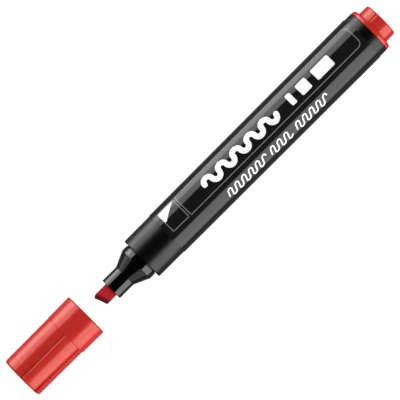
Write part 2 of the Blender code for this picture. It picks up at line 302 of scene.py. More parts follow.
def rounded_outline(corners, steps=6):
    """Outline of (x, radius) points from corners (x, radius, edge radius), with its corners rounded off."""
    points = []
    for k, (x, r, edge) in enumerate(corners):
        here = Vector((x, r))
        if edge == 0 or k in (0, len(corners) - 1):
            points.append(here)
            continue
        before = Vector(corners[k - 1][:2]) - here
        after = Vector(corners[k + 1][:2]) - here
        opening = before.angle(after)
        reach = edge / math.tan(opening / 2)
        start = here + before.normalized() * reach
        end = here + after.normalized() * reach
        centre = here + (before.normalized() + after.normalized()).normalized() * edge / math.sin(opening / 2)
        sweep = (start - centre).angle_signed(end - centre)
        for step in range(steps + 1):
            points.append(centre + Matrix.Rotation(-sweep * step / steps, 2) @ (start - centre))
    return [(p.x, p.y) for p in points]


def even_angles(columns=COLUMNS):
    """Angles of evenly spread columns, in degrees."""
    return [360.0 * k / columns for k in range(columns)]


def turned(name, outline, angles=None, shape=None):
    """A closed mesh turned about the marker's axis from an outline of (x, radius) points.

    An outline that starts and ends on the axis makes a solid or a cup, and any other is closed into a ring.
    shape(x, r, degrees) may change the radius.
    """
    angles = angles or even_angles()
    bm = bmesh.new()
    rings = []
    for x, r in outline:
        if r < 1e-6:
            rings.append([bm.verts.new(around(x, 0, 0))])
            continue
        rings.append([bm.verts.new(around(x, shape(x, r, a) if shape else r, a)) for a in angles])
    pairs = list(zip(rings, rings[1:]))
    if len(rings[0]) > 1:
        pairs.append((rings[-1], rings[0]))
    count = len(angles)
    for first, second in pairs:
        for k in range(count):
            following = (k + 1) % count
            corners = [first[k % len(first)], first[following % len(first)]]
            corners += [second[following % len(second)], second[k % len(second)]]
            bm.faces.new(dict.fromkeys(corners))
    return piece_from(name, bm)


def piece_from(name, bm):
    """An object made from a bmesh, smooth except at sharp edges."""
    bmesh.ops.recalc_face_normals(bm, faces=bm.faces)
    mesh = bpy.data.meshes.new(name)
    bm.to_mesh(mesh)
    bm.free()
    mesh.shade_smooth()
    mesh.set_sharp_from_angle(angle=math.radians(SHARP_DEG))
    piece = bpy.data.objects.new(name, mesh)
    bpy.context.collection.objects.link(piece)
    return piece


def dress(piece, material, body, slot, *nodes):
    """Gives a piece its material and its body, and hides the CAD nodes that it stands for. The slot is not
    used.
    """
    piece.data.materials.clear()
    piece.data.materials.append(material)
    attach(piece, body)
    if nodes:
        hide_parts(*nodes)
    return piece


# ---------------------------------------------------------------- materials


class Finish:
    """A Principled material that is built up from a few procedural layers, in object coordinates."""

    def __init__(self, name, color, roughness, ior=1.5):
        self.material = bpy.data.materials.new(name)
        self.material.use_nodes = True
        self.nodes = self.material.node_tree.nodes
        self.links = self.material.node_tree.links
        self.shader = self.nodes["Principled BSDF"]
        self.shader.inputs["Base Color"].default_value = (*color, 1.0)
        self.shader.inputs["Roughness"].default_value = roughness
        self.shader.inputs["IOR"].default_value = ior
        self.color = color
        self.coords = self.nodes.new("ShaderNodeTexCoord")
        self.normal = None

    def stretched(self, scale):
        """Object coordinates multiplied by a scale, the number of features per metre along each axis."""
        mapping = self.nodes.new("ShaderNodeMapping")
        mapping.inputs["Scale"].default_value = scale
        self.links.new(self.coords.outputs["Object"], mapping.inputs["Vector"])
        return mapping.outputs["Vector"]

    def noise(self, scale, detail=3.0, rough=0.5):
        """Noise with features of 1 / scale metres along each axis."""
        texture = self.nodes.new("ShaderNodeTexNoise")
        texture.inputs["Scale"].default_value = 1.0
        texture.inputs["Detail"].default_value = detail
        texture.inputs["Roughness"].default_value = rough
        self.links.new(self.stretched(scale), texture.inputs["Vector"])
        return texture.outputs["Fac"]

    def spread(self, value, low, high, from_low=0.3, from_high=0.7):
        """Maps a value onto a range."""
        node = self.nodes.new("ShaderNodeMapRange")
        node.inputs["From Min"].default_value = from_low
        node.inputs["From Max"].default_value = from_high
        node.inputs["To Min"].default_value = low
        node.inputs["To Max"].default_value = high
        self.links.new(value, node.inputs["Value"])
        return node.outputs["Result"]

    def vary_roughness(self, value, low, high):
        """Lets the roughness follow a value."""
        self.links.new(self.spread(value, low, high), self.shader.inputs["Roughness"])

    def vary_color(self, value, other, from_low=0.3, from_high=0.7):
        """Blends the base colour towards another one as a value grows."""
        mix = self.nodes.new("ShaderNodeMix")
        mix.data_type = "RGBA"
        base = self.shader.inputs["Base Color"]
        if base.is_linked:
            self.links.new(base.links[0].from_socket, mix.inputs["A"])
        else:
            mix.inputs["A"].default_value = (*self.color, 1.0)
        mix.inputs["B"].default_value = (*other, 1.0)
        self.links.new(self.spread(value, 0.0, 1.0, from_low, from_high), mix.inputs["Factor"])
        self.links.new(mix.outputs["Result"], base)

    def bump(self, value, height_mm):
        """Adds relief of a height in millimetres."""
        node = self.nodes.new("ShaderNodeBump")
        node.inputs["Strength"].default_value = 1.0
        node.inputs["Distance"].default_value = height_mm * MM
        self.links.new(value, node.inputs["Height"])
        if self.normal:
            self.links.new(self.normal, node.inputs["Normal"])
        self.normal = node.outputs["Normal"]
        self.links.new(self.normal, self.shader.inputs["Normal"])


def satin_black_finish():
    """Moulded black plastic with a fine spark-eroded grain."""
    finish = Finish("satin_black_plastic", (0.0006, 0.0005, 0.0005), 0.32, 1.42)
    finish.vary_roughness(finish.noise((900, 900, 900)), 0.29, 0.35)
    finish.vary_color(finish.noise((260, 700, 700)), (0.0011, 0.0010, 0.0010))
    finish.bump(finish.noise((9000, 9000, 9000), 2.0), 0.0006)
    return finish.material


def label_finish():
    """Glossy black printed film, with the faint ripple of a film that was shrunk on."""
    finish = Finish("label_black_film", (0.0074, 0.0074, 0.0074), 0.10, 1.40)
    finish.vary_roughness(finish.noise((300, 500, 500)), 0.08, 0.13)
    finish.bump(finish.noise((90, 260, 260), 1.0), 0.003)
    finish.bump(finish.noise((5000, 5000, 5000), 2.0), 0.00015)
    return finish.material


def nozzle_finish():
    """Polished black plastic."""
    finish = Finish("gloss_black_plastic", (0.0008, 0.0008, 0.0009), 0.10, 1.53)
    finish.vary_roughness(finish.noise((700, 700, 700)), 0.08, 0.13)
    finish.bump(finish.noise((1400, 1400, 1400), 2.0), 0.0005)
    return finish.material


def red_plastic_finish(name, roughness):
    """Semi-gloss moulded red plastic that lets a little light in."""
    finish = Finish(name, (0.50, 0.025, 0.018), roughness, 1.50)
    finish.shader.inputs["Specular IOR Level"].default_value = 0.82
    finish.shader.inputs["Specular Tint"].default_value = (1.0, 0.45, 0.39, 1.0)
    finish.shader.inputs["Subsurface Weight"].default_value = 0.12
    finish.shader.inputs["Subsurface Radius"].default_value = (1.0, 0.25, 0.15)
    finish.shader.inputs["Subsurface Scale"].default_value = 0.6 * MM
    finish.vary_roughness(finish.noise((500, 800, 800)), roughness - 0.03, roughness + 0.04)
    finish.vary_color(finish.noise((160, 420, 420), 4.0), (0.46, 0.021, 0.015))
    finish.bump(finish.noise((7000, 7000, 7000), 2.0), 0.0004)
    finish.bump(finish.noise((220, 420, 420), 1.0), 0.002)
    return finish.material


def darken_towards_writing_edge(finish):
    """Darkens the felt along the slanted writing edge, in two steps."""
    position = finish.nodes.new("ShaderNodeSeparateXYZ")
    finish.links.new(finish.stretched((1 / MM, 1 / MM, 1 / MM)), position.inputs["Vector"])
    slope = finish.nodes.new("ShaderNodeMath")
    slope.operation = "MULTIPLY_ADD"
    finish.links.new(position.outputs["Y"], slope.inputs[0])
    slope.inputs[1].default_value = NIB_SLANT / (2 * NIB_HALF_WIDTH)
    finish.links.new(position.outputs["X"], slope.inputs[2])
    edge_x = NIB_TIP_X + NIB_SLANT / 2
    # The felt gets darker towards the writing edge, set by position along the nib, in two colour steps.
    for color, start, end in EDGE_DARKENING:
        finish.vary_color(slope.outputs["Value"], color, edge_x + start, edge_x + end)


def felt_finish():
    """Bonded felt soaked with red ink: fibres along the nib, darker towards the slanted writing edge."""
    finish = Finish("red_felt", (0.47, 0.020, 0.022), 0.9, 1.25)
    finish.vary_color(finish.noise((2500, 14000, 14000), 4.0, 0.6), (0.37, 0.013, 0.015))
    finish.bump(finish.noise((2200, 12000, 12000), 3.0, 0.6), 0.012)
    darken_towards_writing_edge(finish)
    return finish.material


def white_ink_finish():
    """White ink under the gloss of the film."""
    finish = Finish("white_ink", (0.93, 0.93, 0.93), 0.16, 1.40)
    finish.vary_roughness(finish.noise((300, 500, 500)), 0.13, 0.20)
    finish.vary_color(finish.noise((1200, 1200, 1200)), (0.90, 0.90, 0.90))
    return finish.material


def grey_ink_finish():
    """Thin light grey ink."""
    finish = Finish("grey_ink", (0.20, 0.20, 0.20), 0.16, 1.40)
    finish.vary_roughness(finish.noise((300, 500, 500)), 0.13, 0.20)
    finish.vary_color(finish.noise((1200, 1200, 1200)), (0.18, 0.18, 0.18))
    return finish.material


def fibre_finish():
    """Bonded polyester fibre soaked with ink, drawn out along the rod."""
    finish = Finish("inked_fibre", (0.45, 0.015, 0.020), 0.95, 1.4)
    finish.vary_color(finish.noise((300, 6000, 6000), 4.0, 0.6), (0.28, 0.008, 0.012))
    finish.bump(finish.noise((300, 6000, 6000), 4.0, 0.6), 0.03)
    return finish.material


def film_finish():
    """Thin clear wrapping film, with creases along its length."""
    finish = Finish("clear_film", (0.80, 0.79, 0.76), 0.22, 1.49)
    finish.shader.inputs["Transmission Weight"].default_value = 0.6
    finish.vary_roughness(finish.noise((200, 900, 900)), 0.16, 0.30)
    finish.bump(finish.noise((60, 1200, 1200), 2.0), 0.02)
    return finish.material


def seal_finish():
    """Soft natural plastic, slightly translucent and matt, with a trace of red ink."""
    finish = Finish("natural_plastic", (0.72, 0.70, 0.66), 0.42, 1.5)
    finish.shader.inputs["Subsurface Weight"].default_value = 0.3
    finish.shader.inputs["Subsurface Radius"].default_value = (1.0, 0.8, 0.6)
    finish.shader.inputs["Subsurface Scale"].default_value = 1.0 * MM
    finish.vary_color(finish.noise((250, 250, 250), 4.0), (0.66, 0.45, 0.42), 0.5, 0.85)
    finish.bump(finish.noise((3000, 3000, 3000), 2.0), 0.001)
    return finish.material


# ---------------------------------------------------------------- pen


def barrel_radius(x):
    """Outer radius of the barrel, which widens steadily as far as the label's rear end."""
    share = min((x - BARREL_FRONT_X) / (LABEL_REAR_X - BARREL_FRONT_X), 1.0)
    return BARREL_FRONT_R + share * (BARREL_REAR_R - BARREL_FRONT_R)


def label_radius(x):
    """Outer radius of the label film."""
    share = (x - LABEL_FRONT_X) / (LABEL_REAR_X - LABEL_FRONT_X)
    front_r = barrel_radius(LABEL_FRONT_X) + LABEL_STEP
    return front_r + share * (LABEL_REAR_R - front_r)


def make_barrel(material):
    """Tube of the pen, from the grip in front of the label to the band behind it."""
    corners = [
        (BARREL_FRONT_X, BORE_R, 0),
        (BARREL_FRONT_X, BARREL_FRONT_R, 0.38),
        (LABEL_FRONT_X, barrel_radius(LABEL_FRONT_X), 0),
        (LABEL_REAR_X, BARREL_REAR_R, 0),
        (BARREL_REAR_X, BARREL_REAR_R, 0.18),
        (BARREL_REAR_X, BORE_R + BORE_WIDENING, 0),
    ]
    return dress(turned("barrel_tube", rounded_outline(corners)), material, "pen", "satin_black", "barrel")


def label_seam(x, r, degrees):
    """The film steps up where its end overlaps its start, and falls back slowly round the marker."""
    turn = (degrees - LABEL_SEAM_DEG) % 360.0
    rise = smooth(turn / LABEL_SEAM_WIDTH_DEG) * (1.0 - smooth(turn / LABEL_SEAM_FADE_DEG))
    return r + LABEL_SEAM_STEP * rise


def make_label(material):
    """Film round the barrel, with extra columns at its seam."""
    corners = [
        (LABEL_FRONT_X, label_radius(LABEL_FRONT_X) - LABEL_THICK, 0),
        (LABEL_FRONT_X, label_radius(LABEL_FRONT_X), 0.06),
        (LABEL_REAR_X, label_radius(LABEL_REAR_X), 0.06),
        (LABEL_REAR_X, label_radius(LABEL_REAR_X) - LABEL_THICK, 0),
    ]
    seam = [LABEL_SEAM_DEG + LABEL_SEAM_WIDTH_DEG * k / LABEL_SEAM_STEPS for k in range(LABEL_SEAM_STEPS + 1)]
    angles = sorted({*even_angles(), *seam})
    piece = turned("label_film", rounded_outline(corners, 4), angles, label_seam)
    return dress(piece, material, "pen", "label_black", "label_sleeve")


def slot_cutter():
    """A box the size of the nib's slot, longer than the nozzle's tip and cone."""
    bm = bmesh.new()
    bmesh.ops.create_cube(bm, size=1.0)
    length = CONE_REAR_X - NOZZLE_TIP_X + SLOT_EXTRA_LENGTH
    for vert in bm.verts:
        vert.co.x = ((NOZZLE_TIP_X + CONE_REAR_X) / 2 + vert.co.x * length) * MM
        vert.co.y *= 2 * (NIB_HALF_WIDTH + SLOT_GAP) * MM
        vert.co.z = AXIS_Z * MM + vert.co.z * 2 * (NIB_HALF_THICK + SLOT_GAP) * MM
    return piece_from("slot_cutter", bm)


def cut(piece, cutter):
    """Takes the cutter out of a piece's mesh and removes the cutter."""
    boolean = piece.modifiers.new("cut", "BOOLEAN")
    boolean.operation = "DIFFERENCE"
    boolean.object = cutter
    bpy.context.view_layer.update()
    evaluated = piece.evaluated_get(bpy.context.evaluated_depsgraph_get())
    mesh = bpy.data.meshes.new_from_object(evaluated)
    piece.modifiers.clear()
    piece.data = mesh
    bpy.data.objects.remove(cutter, do_unlink=True)
    mesh.set_sharp_from_angle(angle=math.radians(SHARP_DEG))


def make_nozzle(material):
    """Nib holder with a thin neck groove against the barrel, and the slot that the nib comes out of."""
    corners = [
        (NOZZLE_TIP_X, 0, 0),
        (NOZZLE_TIP_X, NOZZLE_TIP_R, 0.22),
        (CONE_FRONT_X, NOZZLE_TIP_R, 0.35),
        (CONE_REAR_X, SHOULDER_R, 0.35),
        (BARREL_FRONT_X - NECK_LENGTH, SHOULDER_R, 0.08),
        (BARREL_FRONT_X - NECK_LENGTH, SHOULDER_R - NECK_DEPTH, 0.04),
        (SPIGOT_REAR_X, SHOULDER_R - NECK_DEPTH, 0.1),
        (SPIGOT_REAR_X, SPIGOT_BORE_R, 0),
        (CONE_REAR_X, SPIGOT_BORE_R - NOZZLE_FLOOR_NARROWING, 0),
        (CONE_REAR_X, 0, 0),
    ]
    piece = turned("nib_holder", rounded_outline(corners))
    cut(piece, slot_cutter())
    return dress(piece, material, "pen", "gloss_black", "front_nozzle")


def nib_section(half_width, half_thick, corner, steps=6):
    """Points (y, z) of a rounded rectangle, anticlockwise."""
    points = []
    quarters = [(1, 1, 0), (-1, 1, 90), (-1, -1, 180), (1, -1, 270)]
    for side_y, side_z, start in quarters:
        for step in range(steps + 1):
            angle = math.radians(start + 90 * step / steps)
            y = side_y * (half_width - corner) + corner * math.cos(angle)
            z = side_z * (half_thick - corner) + corner * math.sin(angle)
            points.append((y, z))
    filled = []
    for (y0, z0), (y1, z1) in zip(points, points[1:] + points[:1]):
        pieces = max(1, round(math.hypot(y1 - y0, z1 - z0) / NIB_MESH_STEP))
        for k in range(pieces):
            filled.append((y0 + (y1 - y0) * k / pieces, z0 + (z1 - z0) * k / pieces))
    return filled


def felt_push(x, y, z):
    """How far the felt's uneven surface lies outside its true shape, in mm."""
    waves = ((Vector((x * along, y * across, z * across)), height) for along, across, height in FELT_WAVES)
    return sum(noise.noise(place) * height for place, height in waves)


def nib_point(reach, y, z):
    """World place of a point (y, z) of the nib's section, at a distance behind its slanted writing edge."""
    bevel = min(reach / NIB_BEVEL_LENGTH, 1.0)
    thick = NIB_EDGE_HALF_THICK + (NIB_HALF_THICK - NIB_EDGE_HALF_THICK) * bevel
    squeeze = min(1.0, thick / NIB_HALF_THICK)
    rounding = 1.0 - math.sqrt(max(0.0, 1.0 - (1.0 - min(reach / NIB_TIP_ROUND, 1.0)) ** 2))
    inset = NIB_CORNER_INSET * max(0.0, 1.0 - reach / NIB_CORNER_LENGTH) ** 2 if y > 0 else 0.0
    side = y * (1 - (inset + NIB_TIP_ROUND * rounding) / NIB_HALF_WIDTH)
    height = z * squeeze * (1 - NIB_TIP_THINNING * rounding)
    straight = smooth((reach - NIB_SLANT_FADE_AT) / NIB_SLANT_FADE_LENGTH)
    slant = NIB_SLANT * (0.5 - side / (2 * NIB_HALF_WIDTH)) * (1.0 - straight)
    place = Vector((NIB_TIP_X + reach + slant, side, height))
    share = 1.0 if reach < FELT_HIDDEN_AT else FELT_HIDDEN_SHARE
    push = 1.0 + felt_push(place.x, y, z) / max(FELT_CORE_R, math.hypot(side, height)) * share
    return (place.x * MM, side * push * MM, (AXIS_Z + height * push) * MM)


def make_nib(material):
    """Chisel nib: a flat felt bar, cut slantwise at its front and bevelled from both sides to its edge."""
    section = nib_section(NIB_HALF_WIDTH, NIB_HALF_THICK, NIB_CORNER)
    reaches = (*NIB_FRONT_RINGS, *NIB_REAR_RINGS, NIB_REAR_X - NIB_TIP_X)
    bm = bmesh.new()
    rings = [[bm.verts.new(nib_point(reach, y, z)) for y, z in section] for reach in reaches]
    count = len(section)
    for first, second in zip(rings, rings[1:]):
        for k in range(count):
            bm.faces.new((first[k], first[(k + 1) % count], second[(k + 1) % count], second[k]))
    bm.faces.new(rings[0])
    bm.faces.new(rings[-1])
    return dress(piece_from("chisel_nib", bm), material, "pen", "red_felt", "nib")


def stub_grooves(x, r, degrees):
    """Fine grooves along the stub, which fade out before its rim and its end."""
    if x < RIM_REAR_X + STUB_GROOVE_FRONT_INSET or r < STUB_R - STUB_DRAFT - STUB_SIDE_MARGIN:
        return r
    spacing = 360.0 / STUB_GROOVES
    off = (degrees - STUB_GROOVE_DEG + spacing / 2) % spacing - spacing / 2
    from_front = smooth((x - RIM_REAR_X - STUB_GROOVE_FRONT_INSET) / STUB_GROOVE_FADE)
    from_rear = smooth((STUB_END_X - STUB_GROOVE_REAR_INSET - x) / STUB_GROOVE_FADE)
    return r - STUB_GROOVE_DEPTH * (from_front * from_rear) * smooth(1.0 - abs(off) / STUB_GROOVE_HALF_DEG)


def groove_angles():
    """Even columns with extra ones at the stub's grooves."""
    angles = set(even_angles(PLUG_COLUMNS))
    spacing = 360.0 / STUB_GROOVES
    for groove in range(STUB_GROOVES):
        for step in range(-STUB_GROOVE_COLUMNS, STUB_GROOVE_COLUMNS + 1):
            off = step * STUB_GROOVE_HALF_DEG / STUB_GROOVE_COLUMNS
            angles.add((STUB_GROOVE_DEG + groove * spacing + off) % 360.0)
    return sorted(angles)


def stub_outline():
    """Outline of the stub from its foot to the middle of its end face, which is dished round a gate mark."""
    points = []
    for step in range(1, STUB_SIDE_RINGS + 1):
        share = step / STUB_SIDE_RINGS
        x = RIM_REAR_X + STUB_FOOT_ROUND + (STUB_END_X - STUB_SIDE_SHORT - RIM_REAR_X) * share
        points.append((x, STUB_R - STUB_DRAFT * share))
    for step in range(STUB_EDGE_STEPS + 1):
        angle = math.pi / 2 * step / STUB_EDGE_STEPS
        x = STUB_END_X - STUB_EDGE_ROUND + STUB_EDGE_ROUND * math.sin(angle)
        points.append((x, STUB_R - STUB_DRAFT - STUB_EDGE_ROUND + STUB_EDGE_ROUND * math.cos(angle)))
    dish_x = STUB_END_X - DISH_DEPTH
    gate_x = STUB_END_X - GATE_DEPTH
    points += [(STUB_END_X, DISH_R), (dish_x, DISH_FLOOR_R), (dish_x, GATE_FOOT_R)]
    return points + [(gate_x, GATE_R), (gate_x, 0)]


def make_plug(material):
    """End plug: a hollow spigot inside the barrel, a rim and a stub."""
    corners = [
        (STUB_END_X - PLUG_END_WALL, 0, 0),
        (STUB_END_X - PLUG_END_WALL, PLUG_BORE_R, 0.3),
        (PLUG_FRONT_X, PLUG_BORE_R, 0.1),
        (PLUG_FRONT_X, BORE_R, 0.2),
        (BARREL_REAR_X + RIM_GAP, BORE_R, 0),
        (BARREL_REAR_X + RIM_GAP, RIM_R, 0.12),
        (RIM_REAR_X, RIM_R, 0.95),
        (RIM_REAR_X, STUB_R, STUB_FOOT_ROUND),
        (STUB_END_X, STUB_R - STUB_DRAFT, 0),
    ]
    outline = rounded_outline(corners)[:-1] + stub_outline()
    piece = turned("end_plug_body", outline, groove_angles(), stub_grooves)
    return dress(piece, material, "pen", "red_plastic", "end_plug")


# ---------------------------------------------------------------- cap


def panel_angles():
    """Angles of the cap's columns, closer together at each panel's crest and step."""
    shares = PANEL_CREST_COLUMNS + PANEL_MIDDLE_COLUMNS + PANEL_STEP_COLUMNS
    panel = 360.0 / PANELS
    return [PANEL_START_DEG + panel * (k + share) for k in range(PANELS) for share in shares]


def panel_fall(share, depth):
    """How far a panel has sunk at a share of its width: a little behind its crest, then ever faster."""
    crest = PANEL_CREST * (1.0 - math.exp(-share / PANEL_CREST_SHARE))
    return crest + depth * share**PANEL_CURVE


def panel_recess(x, degrees):
    """How far the cap's outside lies below its body: each panel falls away, then steps back up."""
    panel = 360.0 / PANELS
    share = (degrees - PANEL_START_DEG) % panel / panel
    along = (CAP_STEP_X - x) / (CAP_STEP_X - CAP_END_X)
    depth = PANEL_RECESS_STEP + along * (PANEL_RECESS_END - PANEL_RECESS_STEP)
    if share <= PANEL_DEEP_AT:
        return panel_fall(share, depth)
    back = smooth((share - PANEL_DEEP_AT) / (1.0 - PANEL_DEEP_AT))
    return panel_fall(PANEL_DEEP_AT, depth) * (1.0 - back)


def cap_panels(x, r, degrees):
    """Sinks the panels into the cap's body and leaves its collar and its bore round."""
    in_bore = r < CAP_BORE_R + CAP_BORE_MARGIN and x > CAP_END_X + CAP_END_MARGIN
    if in_bore:
        return r
    on_body = smooth((CAP_STEP_X - x) / CAP_STEP_SLOPE)
    return r * (1.0 - on_body * panel_recess(x, degrees) / CAP_STEP_R)


def cap_outline():
    """Outline of the cap, with several rings where its panels end at the collar."""
    corners = [
        (CAP_END_X, 0, 0),
        (CAP_END_X, CAP_END_R, 0.75),
        (CAP_STEP_X, CAP_STEP_R, 0),
        (CAP_MOUTH_X, CAP_MOUTH_R, 0.32),
        (CAP_MOUTH_X, CAP_BORE_R + CAP_LEAD_IN, 0.1),
        (CAP_MOUTH_X - CAP_LEAD_IN_LENGTH, CAP_BORE_R, 0.2),
        (CAP_END_X + CAP_END_WALL, CAP_BORE_R, 0.3),
        (CAP_END_X + CAP_END_WALL, 0, 0),
    ]
    outline = []
    for x, r in rounded_outline(corners):
        if abs(x - CAP_STEP_X) < 1e-6:
            for step in range(CAP_STEP_RINGS):
                along = CAP_STEP_RINGS_REACH * step / (CAP_STEP_RINGS - 1)
                outline.append((CAP_STEP_X - CAP_STEP_RINGS_FRONT + along, CAP_STEP_R))
        else:
            outline.append((x, r))
    return outline


def make_cap(material):
    """Cap with a round collar at its mouth and seven curved panels behind it."""
    piece = turned("cap_body", cap_outline(), panel_angles(), cap_panels)
    return dress(piece, material, "cap", "red_plastic", "cap_shell")


def make_seal(material):
    """Soft cup in the cap that closes round the nozzle."""
    corners = [
        (SEAL_BASE_X, 0, 0),
        (SEAL_BASE_X, SEAL_BASE_R, 0.15),
        (SEAL_BASE_X + SEAL_BASE_THICK, SEAL_BASE_R, 0.15),
        (SEAL_BASE_X + SEAL_BASE_THICK, SEAL_R, 0.3),
        (SEAL_MOUTH_X, SEAL_R, 0.25),
        (SEAL_MOUTH_X, SEAL_BORE_R + SEAL_LEAD_IN, 0.1),
        (SEAL_MOUTH_X - SEAL_LEAD_IN_LENGTH, SEAL_BORE_R, 0.3),
        (SEAL_BASE_X + SEAL_END_WALL, SEAL_BORE_R, 0.4),
        (SEAL_BASE_X + SEAL_END_WALL, 0, 0),
    ]
    piece = turned("cap_seal_cup", rounded_outline(corners, 4), even_angles(SEAL_COLUMNS))
    return dress(piece, material, "cap", "natural_plastic", "cap_inner_seal")


# ---------------------------------------------------------------- label print


def on_label(x, degrees, lift):
    """World place of a point on the label, or a little above or below it."""
    return around(x, label_radius(x) + lift, degrees)


def close_strip(bm, row):
    """Closes one end of a strip, with quads between its upper and lower edges."""
    for k in range(INK_ACROSS):
        bm.faces.new((row[k], row[k + 1], row[-2 - k], row[-1 - k]))


def ink_strip(bm, left, right, closed=False):
    """Adds a strip of ink between two lines of (x, degrees) points, bent to the label all the way across."""
    rows = []
    for a, b in zip(left, right):
        shares = [k / INK_ACROSS for k in range(INK_ACROSS + 1)]
        across = [(a[0] + (b[0] - a[0]) * share, a[1] + (b[1] - a[1]) * share) for share in shares]
        row = [bm.verts.new(on_label(*point, INK_LIFT)) for point in across]
        row += [bm.verts.new(on_label(*point, -INK_DEPTH)) for point in reversed(across)]
        rows.append(row)
    pairs = list(zip(rows, rows[1:]))
    if closed:
        pairs.append((rows[-1], rows[0]))
    else:
        close_strip(bm, rows[0])
        close_strip(bm, rows[-1])
    count = len(rows[0])
    for first, second in pairs:
        for k in range(count):
            bm.faces.new((first[k], first[(k + 1) % count], second[(k + 1) % count], second[k]))


def bar(bm, x, width):
    """A bar of ink across the label, with round corners."""
    left = []
    right = []
    for step in range(BAR_STEPS + 1):
        share = (1 - math.cos(math.pi * step / BAR_STEPS)) / 2
        degrees = BAR_TOP_DEG + (BAR_LOW_DEG - BAR_TOP_DEG) * share
        from_end = min(degrees - BAR_TOP_DEG, BAR_LOW_DEG - degrees) * MM_PER_DEG
        past_corner = max(0.0, BAR_CORNER - from_end)
        inset = BAR_CORNER - math.sqrt(max(0.0, BAR_CORNER**2 - past_corner**2))
        left.append((x + inset, degrees))
        right.append((x + width - inset, degrees))
    ink_strip(bm, left, right)


def round_end(end, outward, width):
    """Centre points and half widths that close a line with a half circle, from its end outwards."""
    angles = [math.pi / 2 * step / END_STEPS for step in range(1, END_STEPS)]
    return [(end + outward * (width / 2 * math.sin(a)), width / 2 * math.cos(a)) for a in angles]


def strip_sides(stations, closed):
    """Lines of (x, degrees) along both sides of a row of centre points and half widths in mm."""
    count = len(stations)
    sides = ([], [])
    for k, (point, half) in enumerate(stations):
        before = stations[(k - 1) % count if closed else max(0, k - 1)][0]
        after = stations[(k + 1) % count if closed else min(count - 1, k + 1)][0]
        along = (after - before).normalized()
        across = Vector((-along.y, along.x)) * half
        for side, place in zip(sides, (point + across, point - across)):
            side.append((place.x, place.y / MM_PER_DEG))
    return sides


def line(bm, path, width, closed=False):
    """A line of ink along (x, degrees) points: a ring, or a stroke with round ends."""
    flat = [Vector((x, degrees * MM_PER_DEG)) for x, degrees in path]
    stations = [(point, width / 2) for point in flat]
    if not closed:
        first = round_end(flat[0], (flat[0] - flat[1]).normalized(), width)
        last = round_end(flat[-1], (flat[-1] - flat[-2]).normalized(), width)
        stations = first[::-1] + stations + last
    ink_strip(bm, *strip_sides(stations, closed), closed=closed)


def wave_path(x0, arches, pitch, low_deg, high_deg, lean=0.0):
    """A wave of alternating round arches joined by straight stems, leaning by lean mm per mm of height."""
    middle = (low_deg + high_deg) / 2
    half = (low_deg - high_deg) / 2 * MM_PER_DEG
    turn = min(half, pitch / 2)
    stem = half - turn
    steps = math.ceil(2 * stem / (FACET_DEG * MM_PER_DEG))
    flat = [(x0, -stem)]
    for arch in range(arches):
        side = 1 if arch % 2 == 0 else -1
        start = x0 + pitch * arch
        for step in range(1, steps + 1):
            flat.append((start, side * stem * (2 * step / steps - 1)))
        for step in range(1, ARCH_STEPS + 1):
            angle = math.pi * step / ARCH_STEPS
            x = start + pitch / 2 - pitch / 2 * math.cos(angle)
            flat.append((x, side * (stem + turn * math.sin(angle))))
    return [(x + lean * height, middle - height / MM_PER_DEG) for x, height in flat]


def frame_path():
    """Outline of the printed frame: square at the front, round at the rear."""
    bow = FRAME_ROUND / MM_PER_DEG
    height = PRINT_LOW_DEG - PRINT_TOP_DEG
    round_x = FRAME_X1 - FRAME_ROUND
    turns = [math.pi / 2 * step / FRAME_ROUND_STEPS for step in range(FRAME_ROUND_STEPS + 1)]
    path = []
    for step in range(FRAME_FRONT_STEPS + 1):
        path.append((FRAME_X0, PRINT_LOW_DEG - height * step / FRAME_FRONT_STEPS))
    for angle in turns:
        path.append((round_x + FRAME_ROUND * math.sin(angle), PRINT_TOP_DEG + bow - bow * math.cos(angle)))
    for step in range(1, FRAME_REAR_STEPS):
        path.append((FRAME_X1, PRINT_TOP_DEG + bow + (height - 2 * bow) * step / FRAME_REAR_STEPS))
    for angle in turns:
        path.append((round_x + FRAME_ROUND * math.cos(angle), PRINT_LOW_DEG - bow + bow * math.sin(angle)))
    return path


def add_lines(bm):
    """Thin outlines of the frame and of the icon's box."""
    line(bm, frame_path(), FRAME_LINE, closed=True)
    box = [(ICON_X0, degrees) for degrees in range(ICON_TOP_DEG, ICON_LOW_DEG + 1, 2)]
    box += [(ICON_X1, degrees) for degrees in range(ICON_LOW_DEG, ICON_TOP_DEG - 1, -2)]
    line(bm, box, FRAME_LINE, closed=True)


def add_icon(bm):
    """A plain wedge in the icon's box."""
    left = []
    right = []
    for step in range(WEDGE_STEPS + 1):
        share = step / WEDGE_STEPS
        degrees = WEDGE_TOP_DEG + WEDGE_SPAN_DEG * share
        left.append((ICON_X0 + WEDGE_INSET, degrees))
        right.append((ICON_X1 - WEDGE_INSET - WEDGE_TAPER * share, degrees))
    ink_strip(bm, left, right)


def add_main(bm):
    """A thick wave and three bars."""
    line(bm, wave_path(WAVE_X, WAVE_ARCHES, WAVE_PITCH, WAVE_LOW_DEG, WAVE_HIGH_DEG), WAVE_STROKE)
    for x, width in BARS:
        bar(bm, x, width)


def add_small(bm):
    """Groups of thin leaning squiggles."""
    x = SQUIGGLE_X
    for arches in SQUIGGLE_ARCHES:
        path = wave_path(x, arches, SQUIGGLE_PITCH, SQUIGGLE_LOW_DEG, SQUIGGLE_HIGH_DEG, SQUIGGLE_LEAN)
        line(bm, path, SQUIGGLE_STROKE)
        x += arches * SQUIGGLE_PITCH + SQUIGGLE_GAP


def make_print(white, grey):
    """Generic print in place of lettering, as four pieces."""
    parts = (
        ("lines", add_lines, grey),
        ("icon", add_icon, white),
        ("main", add_main, white),
        ("small", add_small, white),
    )
    for name, add, ink in parts:
        bm = bmesh.new()
        add(bm)
        dress(piece_from(f"label_print_{name}", bm), ink, "pen", "label_black")


# ---------------------------------------------------------------- stage


